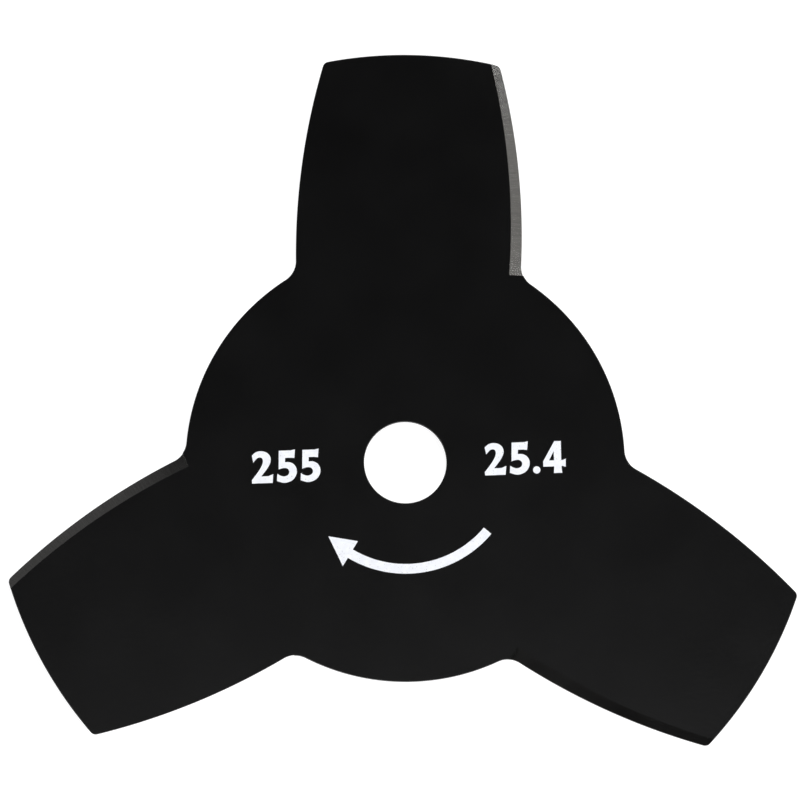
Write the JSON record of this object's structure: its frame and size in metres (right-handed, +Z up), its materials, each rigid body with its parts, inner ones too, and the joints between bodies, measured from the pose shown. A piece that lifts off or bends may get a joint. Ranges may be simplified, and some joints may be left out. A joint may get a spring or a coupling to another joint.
{
  "type": "brush cutter blade",
  "caption": "Flat steel cutting blade for a brush cutter, with broad equal arms round a central bore and flanks ground on alternate faces.",
  "frame": {"origin": "on the bore's axis, in the plane of the underside that the blade lies on", "axes": "+Z up along the bore's axis, out of the printed face; +Y along one arm; +X to the right of that arm as seen from above"},
  "size_m": [0.2424, 0.2132, 0.002],
  "materials": {
    "black_coat": "satin black stoved paint over rolled spring steel",
    "ground_steel": "bare, freshly ground cutting bands with fine grinding lines",
    "white_print": "thin white screen print"
  },
  "bodies": {
    "root": {"blade": "black_coat"}
  },
  "joints": []
}
